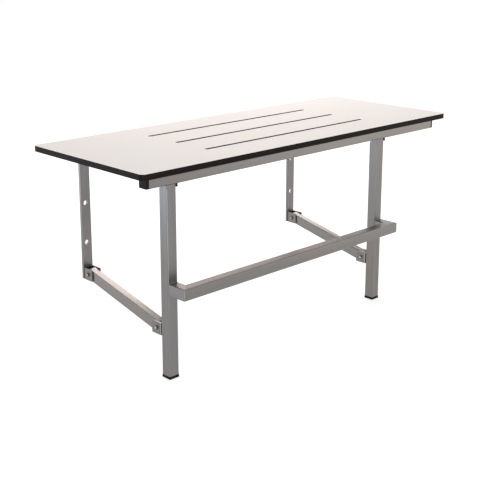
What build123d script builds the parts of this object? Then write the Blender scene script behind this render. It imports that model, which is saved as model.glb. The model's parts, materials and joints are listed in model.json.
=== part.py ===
"""Fold-up work bench: a laminate worktop on two wall uprights and a hinged front frame.

X runs along the bench from left to right, Y from the user towards the wall, Z up.
The origin is on the floor, in the middle of the overall length and depth.  All sizes in mm.
"""
from build123d import *
import math
import os

os.makedirs("parts", exist_ok=True)

# ---------------------------------------------------------------- worktop
TOP_LENGTH = 1600.0
TOP_DEPTH = 620.0
TOP_THICK = 20.0
TOP_HEIGHT = 730.0
TOP_CORNER = 18.0
SKIN = 1.0
SKIN_ARRIS = 0.6
SLOT_LENGTH = 835.0
SLOT_WIDTH = 10.0
SLOT_START = 396.0
SLOT_FROM_FRONT = (153.0, 310.0, 467.0)

# ---------------------------------------------------------------- tube stock
TUBE = 40.0
WALL = 2.0
TUBE_CORNER = 4.0
BEARER_HEIGHT = 30.0
STRUT_WIDTH = 30.0
STRUT_CORNER = 3.0

# ---------------------------------------------------------------- layout
FOOTREST_REACH = 45.0
LEFT_END = -TOP_LENGTH / 2
FRONT_EDGE = FOOTREST_REACH - (TOP_DEPTH + FOOTREST_REACH) / 2
FRAME_X = {"left": LEFT_END + 143.0, "right": LEFT_END + 1214.0}
TOP_UNDERSIDE = TOP_HEIGHT - TOP_THICK

RAIL_START = LEFT_END + 41.0
RAIL_END = LEFT_END + 1554.0
RAIL_FRONT = FRONT_EDGE + 32.0
RAIL_Z = TOP_UNDERSIDE - TUBE / 2
RAIL_CAP = 10.0

LEG_FRONT = FRONT_EDGE + 35.0
LEG_BACK = LEG_FRONT + TUBE
LEG_TOP = 669.5
FOOT_HEIGHT = 10.0
FOOT_FLARE = 1.5

FOOTREST_FRONT = FRONT_EDGE - FOOTREST_REACH
FOOTREST_Z = 318.0

UPRIGHT_THICK = 10.0
UPRIGHT_FRONT = FRONT_EDGE + 518.0
UPRIGHT_FOOT = 232.0
WALL_HOLE = 18.0
WALL_HOLE_Z = (367.0, 514.0)

# ---------------------------------------------------------------- pivots, as (Y, Z)
TOP_HINGE = (FRONT_EDGE + 514.0, 690.0)
LEG_HINGE = (FRONT_EDGE + 65.0, 659.5)
WALL_PIVOT = (FRONT_EDGE + 492.0, 254.0)
LEG_PIVOT = (FRONT_EDGE + 101.0, 168.5)
RUNNING_FIT = 0.05
SIDE_PLAY = 0.5

# ---------------------------------------------------------------- brackets and hinges
BRACKET_SHEET = 4.0
BRACKET_LENGTH = 50.0
BRACKET_HEIGHT = 44.0
BRACKET_BEND = 8.0
BRACKET_CORNER = 4.0
BARREL = 26.0
HINGE_PIN = 10.0
PIN_HEAD = 16.0
PIN_HEAD_THICK = 3.0
CLIP = 18.0
CLIP_THICK = 1.2
CLIP_GROOVE = 8.0
SADDLE_REACH = 18.0
SADDLE_FOOT = TOP_HINGE[1] - 14.0
EAR_LOBE = 5.0
EAR_CORNER = 1.0
EAR_SETBACK = 6.0
SPACER = 3.5
LEG_PIN = 6.0
LEG_BUSH = 11.0
LEG_TOP_RADIUS = 10.0

# ---------------------------------------------------------------- M8 pivot bolts
BOLT = 8.0
HEX = 13.0
HEX_HEAD = 5.3
NUT = 6.8
BOLT_TAIL = 9.0
STRUT_BUSH = 14.0
STRUT_END_SHORT = 3.5
STRUT_EYE = 22.0
STRUT_EYE_SHIFT = (-3.5, 5.5)

# ---------------------------------------------------------------- M6 worktop bolts
M6 = 6.0
M6_HEAD = 10.5
M6_HEAD_THICK = 3.3
M6_GRIP = 14.0
ACCESS_HOLE = 14.0
RAIL_BOLT_X = [LEFT_END + along for along in (300.0, 680.0, 1060.0, 1440.0)]
BEARER_BOLT_Y = [FRONT_EDGE + back for back in (230.0, 390.0)]
CROSS_BOLT_X = [LEFT_END + along for along in (450.0, 900.0)]

RAIL_Y = RAIL_FRONT + TUBE / 2
BEARER_Z = TOP_UNDERSIDE - BEARER_HEIGHT / 2
CROSS_FRONT = FRONT_EDGE + 412.0
CROSS_Y = CROSS_FRONT + TUBE / 2
WORKTOP_BOLTS = (
    [(x, RAIL_Y) for x in RAIL_BOLT_X]
    + [(x, y) for x in FRAME_X.values() for y in BEARER_BOLT_Y]
    + [(x, CROSS_Y) for x in CROSS_BOLT_X]
)


def across(y):
    """Upright plane facing the user at depth y; positive extrusion runs to the front."""
    return Plane.XZ.offset(-y)


def tube_section(width, height, corner=TUBE_CORNER):
    """Outline of a rolled hollow section, drawn into the sketch in progress."""
    RectangleRounded(width, height, corner)
    RectangleRounded(width - 2 * WALL, height - 2 * WALL, corner - WALL, mode=Mode.SUBTRACT)


def worktop_outline():
    """Worktop plan with its three through slots, drawn into the sketch in progress."""
    with Locations((0, FRONT_EDGE + TOP_DEPTH / 2)):
        RectangleRounded(TOP_LENGTH, TOP_DEPTH, TOP_CORNER)
    with Locations(*[(LEFT_END + SLOT_START + SLOT_LENGTH / 2, FRONT_EDGE + y) for y in SLOT_FROM_FRONT]):
        SlotOverall(SLOT_LENGTH, SLOT_WIDTH, mode=Mode.SUBTRACT)


# ================================================================ worktop
# A compact laminate board: black core, one decor skin above and a backer below.
with BuildPart() as worktop_core:
    with BuildSketch(Plane.XY.offset(TOP_UNDERSIDE + SKIN)):
        worktop_outline()
    extrude(amount=TOP_THICK - 2 * SKIN)
    with BuildSketch(Plane.XY.offset(TOP_UNDERSIDE)):
        with Locations(*WORKTOP_BOLTS):
            Circle(M6 / 2)
    extrude(amount=M6_GRIP, mode=Mode.SUBTRACT)
worktop_core.part.label = "worktop_core"
export_step(worktop_core.part, "parts/worktop_core.step")

with BuildPart() as worktop_face:
    with BuildSketch(Plane.XY.offset(TOP_HEIGHT - SKIN)):
        worktop_outline()
    extrude(amount=SKIN)
    chamfer(worktop_face.faces().sort_by(Axis.Z)[-1].edges(), length=SKIN_ARRIS)
worktop_face.part.label = "worktop_face"
export_step(worktop_face.part, "parts/worktop_face.step")

with BuildPart() as worktop_backer:
    with BuildSketch(Plane.XY.offset(TOP_UNDERSIDE)):
        worktop_outline()
        with Locations(*WORKTOP_BOLTS):
            Circle(M6 / 2, mode=Mode.SUBTRACT)
    extrude(amount=SKIN)
worktop_backer.part.label = "worktop_backer"
export_step(worktop_backer.part, "parts/worktop_backer.step")

# ================================================================ front rail
with BuildPart() as front_rail:
    with BuildSketch(Plane.YZ.offset(RAIL_START + RAIL_CAP)):
        with Locations((RAIL_Y, RAIL_Z)):
            tube_section(TUBE, TUBE)
    extrude(amount=RAIL_END - RAIL_START - 2 * RAIL_CAP)
    with BuildSketch(Plane.XY.offset(TOP_UNDERSIDE)):
        with Locations(*[(x, RAIL_Y) for x in RAIL_BOLT_X]):
            Circle(M6 / 2)
    extrude(amount=-TUBE / 2, mode=Mode.SUBTRACT)
    with BuildSketch(Plane.XY.offset(TOP_UNDERSIDE - TUBE)):
        with Locations(*[(x, RAIL_Y) for x in RAIL_BOLT_X]):
            Circle(ACCESS_HOLE / 2)
    extrude(amount=TUBE / 2, mode=Mode.SUBTRACT)
front_rail.part.label = "front_rail"
export_step(front_rail.part, "parts/front_rail.step")

# Moulded end caps: a flange as large as the tube and a hollow tail pushed into it.
PLUG = TUBE - 2 * WALL
PLUG_WALL = 2.0
PLUG_DEPTH = 20.0
CAP_EDGE = 1.5
for side, start, outward in (("left", RAIL_START + RAIL_CAP, -1), ("right", RAIL_END - RAIL_CAP, 1)):
    with BuildPart() as rail_cap:
        with BuildSketch(Plane.YZ.offset(start)):
            with Locations((RAIL_Y, RAIL_Z)):
                RectangleRounded(TUBE, TUBE, TUBE_CORNER)
        extrude(amount=outward * RAIL_CAP)
        fillet(rail_cap.faces().sort_by(Axis.X)[0 if outward < 0 else -1].edges(), radius=CAP_EDGE)
        with BuildSketch(Plane.YZ.offset(start)):
            with Locations((RAIL_Y, RAIL_Z)):
                RectangleRounded(PLUG, PLUG, TUBE_CORNER - WALL)
                Rectangle(PLUG - 2 * PLUG_WALL, PLUG - 2 * PLUG_WALL, mode=Mode.SUBTRACT)
        extrude(amount=-outward * PLUG_DEPTH)
    rail_cap.part.label = f"rail_cap_{side}"
    export_step(rail_cap.part, f"parts/rail_cap_{side}.step")

# ================================================================ bearers and rear cross tube
# A bearer runs from the rail to the rear hinge saddle over each pair of supports.
BEARER_FRONT = RAIL_FRONT + TUBE
BEARER_BACK = TOP_HINGE[0] - SADDLE_REACH
for side, x in FRAME_X.items():
    with BuildPart() as bearer:
        with BuildSketch(across(BEARER_FRONT)):
            with Locations((x, BEARER_Z)):
                tube_section(TUBE, BEARER_HEIGHT)
        extrude(amount=BEARER_FRONT - BEARER_BACK)
        with BuildSketch(Plane.XY.offset(TOP_UNDERSIDE)):
            with Locations(*[(x, y) for y in BEARER_BOLT_Y]):
                Circle(M6 / 2)
        extrude(amount=-BEARER_HEIGHT / 2, mode=Mode.SUBTRACT)
        with BuildSketch(Plane.XY.offset(TOP_UNDERSIDE - BEARER_HEIGHT)):
            with Locations(*[(x, y) for y in BEARER_BOLT_Y]):
                Circle(ACCESS_HOLE / 2)
        extrude(amount=BEARER_HEIGHT / 2, mode=Mode.SUBTRACT)
    bearer.part.label = f"bearer_{side}"
    export_step(bearer.part, f"parts/bearer_{side}.step")

CROSS_START = FRAME_X["left"] + TUBE / 2
CROSS_LENGTH = FRAME_X["right"] - FRAME_X["left"] - TUBE
with BuildPart() as rear_cross_tube:
    with BuildSketch(Plane.YZ.offset(CROSS_START)):
        with Locations((CROSS_Y, BEARER_Z)):
            tube_section(TUBE, BEARER_HEIGHT)
    extrude(amount=CROSS_LENGTH)
    with BuildSketch(Plane.XY.offset(TOP_UNDERSIDE)):
        with Locations(*[(x, CROSS_Y) for x in CROSS_BOLT_X]):
            Circle(M6 / 2)
    extrude(amount=-BEARER_HEIGHT / 2, mode=Mode.SUBTRACT)
    with BuildSketch(Plane.XY.offset(TOP_UNDERSIDE - BEARER_HEIGHT)):
        with Locations(*[(x, CROSS_Y) for x in CROSS_BOLT_X]):
            Circle(ACCESS_HOLE / 2)
    extrude(amount=BEARER_HEIGHT / 2, mode=Mode.SUBTRACT)
rear_cross_tube.part.label = "rear_cross_tube"
export_step(rear_cross_tube.part, "parts/rear_cross_tube.step")

# Button-head bolts that draw the steel frame up against the board.
with BuildPart() as worktop_bolts:
    with BuildSketch(Plane.XY.offset(TOP_UNDERSIDE - WALL)):
        with Locations(*WORKTOP_BOLTS):
            Circle(M6_HEAD / 2)
    extrude(amount=-M6_HEAD_THICK)
    with BuildSketch(Plane.XY.offset(TOP_UNDERSIDE - WALL)):
        with Locations(*WORKTOP_BOLTS):
            Circle(M6 / 2)
    extrude(amount=M6_GRIP + WALL)
worktop_bolts.part.label = "worktop_bolts"
export_step(worktop_bolts.part, "parts/worktop_bolts.step")

# ================================================================ wall uprights and hinge barrels
# Flat bars screwed to the supporting wall; each carries a welded barrel for the top's hinge.
UPRIGHT_BACK = UPRIGHT_FRONT + UPRIGHT_THICK
UPRIGHT_TOP = 684.0
UPRIGHT_EDGE = 1.0
for side, x in FRAME_X.items():
    with BuildPart() as upright:
        with BuildSketch(Plane.XY.offset(UPRIGHT_FOOT)):
            with Locations((x, (UPRIGHT_FRONT + UPRIGHT_BACK) / 2)):
                Rectangle(TUBE, UPRIGHT_THICK)
        extrude(amount=UPRIGHT_TOP - UPRIGHT_FOOT)
        fillet(upright.edges().filter_by(Axis.Z), radius=UPRIGHT_EDGE)
        with BuildSketch(across(UPRIGHT_BACK)):
            with Locations(*[(x, z) for z in WALL_HOLE_Z]):
                Circle(WALL_HOLE / 2)
        extrude(amount=UPRIGHT_THICK, mode=Mode.SUBTRACT)
        with BuildSketch(Plane.YZ.offset(x)):
            with Locations(TOP_HINGE):
                Circle(BARREL / 2)
        extrude(amount=TUBE / 2, both=True, mode=Mode.SUBTRACT)
    upright.part.label = f"upright_{side}"
    export_step(upright.part, f"parts/upright_{side}.step")

    with BuildPart() as hinge_barrel:
        with BuildSketch(Plane.YZ.offset(x)):
            with Locations(TOP_HINGE):
                Circle(BARREL / 2)
                Circle(HINGE_PIN / 2 + RUNNING_FIT, mode=Mode.SUBTRACT)
        extrude(amount=TUBE / 2, both=True)
    hinge_barrel.part.label = f"hinge_barrel_{side}"
    export_step(hinge_barrel.part, f"parts/hinge_barrel_{side}.step")

# ================================================================ rear hinge saddles
# Folded sheet channels under the worktop that straddle the barrels.
SADDLE_INSIDE = TUBE + 2 * SIDE_PLAY
SADDLE_OUTSIDE = SADDLE_INSIDE + 2 * BRACKET_SHEET
SADDLE_BEND = 5.5
SADDLE_RADIUS = 6.0
for side, x in FRAME_X.items():
    with BuildPart() as rear_saddle:
        with BuildSketch(across(TOP_HINGE[0])):
            with Locations((x, (TOP_UNDERSIDE + SADDLE_FOOT) / 2)):
                channel = Rectangle(SADDLE_OUTSIDE, TOP_UNDERSIDE - SADDLE_FOOT)
            fillet(channel.vertices().group_by(Axis.Y)[-1], radius=SADDLE_BEND)
            with Locations((x, (TOP_UNDERSIDE - BRACKET_SHEET + SADDLE_FOOT) / 2)):
                Rectangle(SADDLE_INSIDE, TOP_UNDERSIDE - BRACKET_SHEET - SADDLE_FOOT, mode=Mode.SUBTRACT)
        extrude(amount=SADDLE_REACH, both=True)
        fillet(
            rear_saddle.edges().filter_by(Axis.X).group_by(Axis.Z)[0],
            radius=SADDLE_RADIUS,
        )
        with BuildSketch(Plane.YZ.offset(x)):
            with Locations(TOP_HINGE):
                Circle(HINGE_PIN / 2)
        extrude(amount=SADDLE_OUTSIDE, both=True, mode=Mode.SUBTRACT)
    rear_saddle.part.label = f"rear_saddle_{side}"
    export_step(rear_saddle.part, f"parts/rear_saddle_{side}.step")

# Headed clevis pins through saddle and barrel, each held by a retaining clip.
PIN_START = SADDLE_OUTSIDE / 2
PIN_TAIL = 4.0
PIN_CHAMFER = 1.0
with BuildPart() as clevis_pin:
    with BuildSketch(Plane.YZ.offset(-PIN_START)):
        Circle(PIN_HEAD / 2)
    extrude(amount=-PIN_HEAD_THICK)
    chamfer(clevis_pin.edges().group_by(Axis.X)[0], length=PIN_CHAMFER)
    with BuildSketch(Plane.YZ.offset(-PIN_START)):
        Circle(HINGE_PIN / 2)
    extrude(amount=2 * PIN_START + PIN_TAIL)
    chamfer(clevis_pin.edges().group_by(Axis.X)[-1], length=PIN_CHAMFER)
    with BuildSketch(Plane.YZ.offset(PIN_START)):
        Circle(HINGE_PIN / 2)
        Circle(CLIP_GROOVE / 2, mode=Mode.SUBTRACT)
    extrude(amount=CLIP_THICK, mode=Mode.SUBTRACT)

with BuildPart() as top_hinge_pins:
    with Locations(*[(x, *TOP_HINGE) for x in FRAME_X.values()]):
        add(clevis_pin.part)
top_hinge_pins.part.label = "top_hinge_pins"
export_step(top_hinge_pins.part, "parts/top_hinge_pins.step")

CLIP_MOUTH = 6.0
with BuildPart() as retaining_clip:
    with BuildSketch(Plane.YZ.offset(PIN_START)):
        Circle(CLIP / 2)
        Circle(CLIP_GROOVE / 2, mode=Mode.SUBTRACT)
        with Locations((0, -CLIP / 2)):
            Rectangle(CLIP_MOUTH, CLIP, mode=Mode.SUBTRACT)
    extrude(amount=CLIP_THICK)

with BuildPart() as top_hinge_clips:
    with Locations(*[(x, *TOP_HINGE) for x in FRAME_X.values()]):
        add(retaining_clip.part)
top_hinge_clips.part.label = "top_hinge_clips"
export_step(top_hinge_clips.part, "parts/top_hinge_clips.step")

# ================================================================ front hinge ears
# A pair of plates under the rail holds each leg; a spacer fills the wider gap on the right.
RAIL_UNDERSIDE = TOP_UNDERSIDE - TUBE
LEFT_EAR = -TUBE / 2 - SIDE_PLAY - BRACKET_SHEET
SPACER_START = TUBE / 2 + SIDE_PLAY
RIGHT_EAR = SPACER_START + SPACER


def ear_outline(front):
    """Side view of a hinge plate from front to its half-round lobe about the leg's pin."""
    lobe_front = (LEG_HINGE[0] - EAR_LOBE, LEG_HINGE[1])
    lobe_foot = (LEG_HINGE[0], LEG_HINGE[1] - EAR_LOBE)
    lobe_back = (LEG_HINGE[0] + EAR_LOBE, LEG_HINGE[1])
    with BuildLine() as outline:
        Polyline(
            lobe_front,
            (front + EAR_CORNER, LEG_HINGE[1]),
            (front, LEG_HINGE[1] + EAR_CORNER),
            (front, RAIL_UNDERSIDE),
            (lobe_back[0], RAIL_UNDERSIDE),
            lobe_back,
        )
        ThreePointArc(lobe_back, lobe_foot, lobe_front)
    make_face(outline.edges())
    with Locations(LEG_HINGE):
        Circle(LEG_PIN / 2, mode=Mode.SUBTRACT)


for side, x in FRAME_X.items():
    with BuildPart() as leg_ears:
        for start, setback in ((LEFT_EAR, 0.0), (RIGHT_EAR, EAR_SETBACK)):
            with BuildSketch(Plane.YZ.offset(x + start)):
                ear_outline(RAIL_FRONT + setback)
            extrude(amount=BRACKET_SHEET)
    leg_ears.part.label = f"leg_ears_{side}"
    export_step(leg_ears.part, f"parts/leg_ears_{side}.step")

with BuildPart() as leg_spacers:
    for x in FRAME_X.values():
        with BuildSketch(Plane.YZ.offset(x + SPACER_START)):
            ear_outline(RAIL_FRONT)
        extrude(amount=SPACER)
leg_spacers.part.label = "leg_spacers"
export_step(leg_spacers.part, "parts/leg_spacers.step")

LEG_PIN_CHAMFER = 0.5
with BuildPart() as leg_hinge_pins:
    for x in FRAME_X.values():
        with BuildSketch(Plane.YZ.offset(x + LEFT_EAR)):
            with Locations(LEG_HINGE):
                Circle(LEG_PIN / 2)
        extrude(amount=RIGHT_EAR + BRACKET_SHEET - LEFT_EAR)
    chamfer(leg_hinge_pins.edges().filter_by(GeomType.CIRCLE), length=LEG_PIN_CHAMFER)
leg_hinge_pins.part.label = "leg_hinge_pins"
export_step(leg_hinge_pins.part, "parts/leg_hinge_pins.step")

# ================================================================ legs
# The rear top corner is cut to a radius about the hinge so that the leg turns under the rail.
for side, x in FRAME_X.items():
    with BuildPart() as leg:
        with BuildSketch(Plane.XY.offset(FOOT_HEIGHT)):
            with Locations((x, LEG_FRONT + TUBE / 2)):
                tube_section(TUBE, TUBE)
        extrude(amount=LEG_TOP - FOOT_HEIGHT)
        with BuildSketch(Plane.YZ.offset(x)):
            with Locations((LEG_BACK, LEG_TOP)):
                outline = Rectangle(TUBE, LEG_TOP - FOOT_HEIGHT, align=(Align.MAX, Align.MAX))
            fillet(outline.vertices().group_by(Axis.Y)[-1].sort_by(Axis.X)[-1], radius=LEG_TOP_RADIUS)
        extrude(amount=TUBE, both=True, mode=Mode.INTERSECT)
        with BuildSketch(Plane.YZ.offset(x)):
            with Locations(LEG_HINGE):
                Circle(LEG_BUSH / 2)
        extrude(amount=TUBE / 2, both=True, mode=Mode.SUBTRACT)
    leg.part.label = f"leg_{side}"
    export_step(leg.part, f"parts/leg_{side}.step")

    with BuildPart() as foot_cap:
        with BuildSketch():
            with Locations((x, LEG_FRONT + TUBE / 2)):
                RectangleRounded(TUBE + 2 * FOOT_FLARE, TUBE + 2 * FOOT_FLARE, TUBE_CORNER)
        extrude(amount=FOOT_HEIGHT, taper=math.degrees(math.atan(FOOT_FLARE / FOOT_HEIGHT)))
        with BuildSketch(Plane.XY.offset(FOOT_HEIGHT)):
            with Locations((x, LEG_FRONT + TUBE / 2)):
                RectangleRounded(PLUG, PLUG, TUBE_CORNER - WALL)
                Rectangle(PLUG - 2 * PLUG_WALL, PLUG - 2 * PLUG_WALL, mode=Mode.SUBTRACT)
        extrude(amount=PLUG_DEPTH)
        fillet(foot_cap.faces().sort_by(Axis.Z)[0].edges(), radius=CAP_EDGE)
    foot_cap.part.label = f"foot_cap_{side}"
    export_step(foot_cap.part, f"parts/foot_cap_{side}.step")

with BuildPart() as leg_bushes:
    for x in FRAME_X.values():
        with BuildSketch(Plane.YZ.offset(x)):
            with Locations(LEG_HINGE):
                Circle(LEG_BUSH / 2)
                Circle(LEG_PIN / 2 + RUNNING_FIT, mode=Mode.SUBTRACT)
        extrude(amount=TUBE / 2, both=True)
leg_bushes.part.label = "leg_bushes"
export_step(leg_bushes.part, "parts/leg_bushes.step")

# ================================================================ footrest
# Two arms and a bar of the leg tube, mitred together at the front corners and ground round there.
MITRE_ROUND = 2.5
BAR_LEFT = FRAME_X["left"] - TUBE / 2
BAR_RIGHT = FRAME_X["right"] + TUBE / 2
BAR_Y = FOOTREST_FRONT + TUBE / 2
for side, x in FRAME_X.items():
    inward = 1 if side == "left" else -1
    outer = x - inward * TUBE / 2
    with BuildPart() as footrest_arm:
        with BuildSketch(across(LEG_FRONT)):
            with Locations((x, FOOTREST_Z)):
                tube_section(TUBE, TUBE)
        extrude(amount=LEG_FRONT - FOOTREST_FRONT)
        with BuildSketch(Plane.XY.offset(FOOTREST_Z - TUBE / 2)):
            with Locations((x, LEG_FRONT)):
                plan = Rectangle(TUBE, LEG_FRONT - FOOTREST_FRONT, align=(Align.CENTER, Align.MAX))
            front_corners = plan.vertices().group_by(Axis.Y)[0].sort_by(Axis.X)
            fillet(front_corners[0 if inward > 0 else -1], radius=MITRE_ROUND)
        extrude(amount=TUBE, mode=Mode.INTERSECT)
        with BuildSketch(Plane.XY.offset(FOOTREST_Z - TUBE / 2)):
            Polygon(
                (outer, FOOTREST_FRONT),
                (outer + inward * TUBE, FOOTREST_FRONT),
                (outer + inward * TUBE, FOOTREST_FRONT + TUBE),
                align=None,
            )
        extrude(amount=TUBE, mode=Mode.SUBTRACT)
    footrest_arm.part.label = f"footrest_arm_{side}"
    export_step(footrest_arm.part, f"parts/footrest_arm_{side}.step")

with BuildPart() as footrest_bar:
    with BuildSketch(Plane.YZ.offset(BAR_LEFT)):
        with Locations((BAR_Y, FOOTREST_Z)):
            tube_section(TUBE, TUBE)
    extrude(amount=BAR_RIGHT - BAR_LEFT)
    with BuildSketch(Plane.XY.offset(FOOTREST_Z - TUBE / 2)):
        with Locations((BAR_LEFT, BAR_Y)):
            plan = Rectangle(BAR_RIGHT - BAR_LEFT, TUBE, align=(Align.MIN, Align.CENTER))
        fillet(plan.vertices().group_by(Axis.Y)[0], radius=MITRE_ROUND)
    extrude(amount=TUBE, mode=Mode.INTERSECT)
    with BuildSketch(Plane.XY.offset(FOOTREST_Z - TUBE / 2)):
        for outer, inward in ((BAR_LEFT, 1), (BAR_RIGHT, -1)):
            Polygon(
                (outer, FOOTREST_FRONT),
                (outer + inward * TUBE, FOOTREST_FRONT + TUBE),
                (outer, FOOTREST_FRONT + TUBE),
                align=None,
            )
    extrude(amount=TUBE, mode=Mode.SUBTRACT)
footrest_bar.part.label = "footrest_bar"
export_step(footrest_bar.part, "parts/footrest_bar.step")

# ================================================================ strut brackets
# Folded U brackets, the web welded to an upright or leg and two ears about the strut.
BRACKET_INSIDE = TUBE - 2 * BRACKET_SHEET
for kind, pivot, weld_face, towards in (
    ("wall", WALL_PIVOT, UPRIGHT_FRONT, -1),
    ("leg", LEG_PIVOT, LEG_BACK, 1),
):
    for side, x in FRAME_X.items():
        with BuildPart() as bracket:
            with BuildSketch(Plane.XY.offset(pivot[1] - BRACKET_HEIGHT / 2)):
                with Locations((x, weld_face + towards * BRACKET_LENGTH / 2)):
                    channel = Rectangle(TUBE, BRACKET_LENGTH)
                fillet(channel.vertices().group_by(Axis.Y)[-1 if towards < 0 else 0], radius=BRACKET_BEND)
                with Locations((x, weld_face + towards * (BRACKET_LENGTH + BRACKET_SHEET) / 2)):
                    Rectangle(BRACKET_INSIDE, BRACKET_LENGTH - BRACKET_SHEET, mode=Mode.SUBTRACT)
            extrude(amount=BRACKET_HEIGHT)
            fillet(
                bracket.edges().filter_by(Axis.Z).group_by(Axis.Y)[-2 if towards < 0 else 1],
                radius=BRACKET_BEND - BRACKET_SHEET,
            )
            fillet(
                bracket.edges().filter_by(Axis.X).group_by(Axis.Y)[0 if towards < 0 else -1],
                radius=BRACKET_CORNER,
            )
            with BuildSketch(Plane.YZ.offset(x)):
                with Locations(pivot):
                    Circle(BOLT / 2)
            extrude(amount=TUBE, both=True, mode=Mode.SUBTRACT)
        bracket.part.label = f"{kind}_bracket_{side}"
        export_step(bracket.part, f"parts/{kind}_bracket_{side}.step")

# ================================================================ pivot bolts and nuts
HEX_CHAMFER = 1.2
HEX_CORNER = HEX / math.sqrt(3)
with BuildPart() as hex_bolt:
    with BuildSketch(Plane.YZ.offset(-TUBE / 2)):
        RegularPolygon(radius=HEX / 2, side_count=6, major_radius=False)
    extrude(amount=-HEX_HEAD)
    with BuildSketch(Plane.YZ.offset(-TUBE / 2)):
        Circle(HEX_CORNER)
    extrude(amount=-HEX_HEAD, mode=Mode.INTERSECT)
    with BuildSketch(Plane.XY):
        with BuildLine():
            Polyline(
                (-TUBE / 2 - HEX_HEAD, HEX / 2 - HEX_CHAMFER / 2),
                (-TUBE / 2 - HEX_HEAD, HEX_CORNER),
                (-TUBE / 2 - HEX_HEAD + HEX_CHAMFER, HEX_CORNER),
                close=True,
            )
        make_face()
    revolve(axis=Axis.X, mode=Mode.SUBTRACT)
    with BuildSketch(Plane.YZ.offset(-TUBE / 2)):
        Circle(BOLT / 2)
    extrude(amount=TUBE + BOLT_TAIL)
    chamfer(hex_bolt.edges().group_by(Axis.X)[-1], length=PIN_CHAMFER)

with BuildPart() as hex_nut:
    with BuildSketch(Plane.YZ.offset(TUBE / 2)):
        RegularPolygon(radius=HEX / 2, side_count=6, major_radius=False)
    extrude(amount=NUT)
    with BuildSketch(Plane.XY):
        with BuildLine():
            Polyline(
                (TUBE / 2 + NUT, HEX / 2 - HEX_CHAMFER / 2),
                (TUBE / 2 + NUT, HEX_CORNER),
                (TUBE / 2 + NUT - HEX_CHAMFER, HEX_CORNER),
                close=True,
            )
        make_face()
    revolve(axis=Axis.X, mode=Mode.SUBTRACT)
    with BuildSketch(Plane.YZ.offset(TUBE / 2)):
        Circle(BOLT / 2)
    extrude(amount=NUT, mode=Mode.SUBTRACT)

for kind, pivot in (("wall", WALL_PIVOT), ("leg", LEG_PIVOT)):
    with BuildPart() as pivot_bolts:
        with Locations(*[(x, *pivot) for x in FRAME_X.values()]):
            add(hex_bolt.part)
    pivot_bolts.part.label = f"{kind}_pivot_bolts"
    export_step(pivot_bolts.part, f"parts/{kind}_pivot_bolts.step")

    with BuildPart() as pivot_nuts:
        with Locations(*[(x, *pivot) for x in FRAME_X.values()]):
            add(hex_nut.part)
    pivot_nuts.part.label = f"{kind}_pivot_nuts"
    export_step(pivot_nuts.part, f"parts/{kind}_pivot_nuts.step")

# ================================================================ struts
# Rectangular tubes with full-round ends.  The wall end turns on a welded bush; the leg end has
# a wide eye in which its bolt shifts while the bench folds.
SPAN_Y = LEG_PIVOT[0] - WALL_PIVOT[0]
SPAN_Z = LEG_PIVOT[1] - WALL_PIVOT[1]
SPAN = math.hypot(SPAN_Y, SPAN_Z)
SIDE_LENGTH = SPAN - STRUT_END_SHORT
for side, x in FRAME_X.items():
    side_view = Plane(origin=(x, *WALL_PIVOT), x_dir=(0, SPAN_Y, SPAN_Z), z_dir=(1, 0, 0))
    section = Plane(origin=(x, *WALL_PIVOT), x_dir=(1, 0, 0), z_dir=(0, SPAN_Y, SPAN_Z))
    with BuildPart() as strut:
        with BuildSketch(section.offset(-TUBE)):
            tube_section(STRUT_WIDTH, TUBE, STRUT_CORNER)
        extrude(amount=SPAN + 2 * TUBE)
        with BuildSketch(side_view):
            with Locations((SIDE_LENGTH / 2, 0)):
                SlotCenterToCenter(SIDE_LENGTH, TUBE)
        extrude(amount=STRUT_WIDTH, both=True, mode=Mode.INTERSECT)
        with BuildSketch(Plane.YZ.offset(x)):
            with Locations(WALL_PIVOT):
                Circle(STRUT_BUSH / 2)
            with Locations((LEG_PIVOT[0] + STRUT_EYE_SHIFT[0], LEG_PIVOT[1] + STRUT_EYE_SHIFT[1])):
                Circle(STRUT_EYE / 2)
        extrude(amount=STRUT_WIDTH, both=True, mode=Mode.SUBTRACT)
    strut.part.label = f"strut_{side}"
    export_step(strut.part, f"parts/strut_{side}.step")

    with BuildPart() as strut_bush:
        with BuildSketch(Plane.YZ.offset(x)):
            with Locations(WALL_PIVOT):
                Circle(STRUT_BUSH / 2)
                Circle(BOLT / 2 + RUNNING_FIT, mode=Mode.SUBTRACT)
        extrude(amount=BRACKET_INSIDE / 2 - SIDE_PLAY / 2, both=True)
    strut_bush.part.label = f"strut_bush_{side}"
    export_step(strut_bush.part, f"parts/strut_bush_{side}.step")
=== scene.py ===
import json
import math

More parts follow.
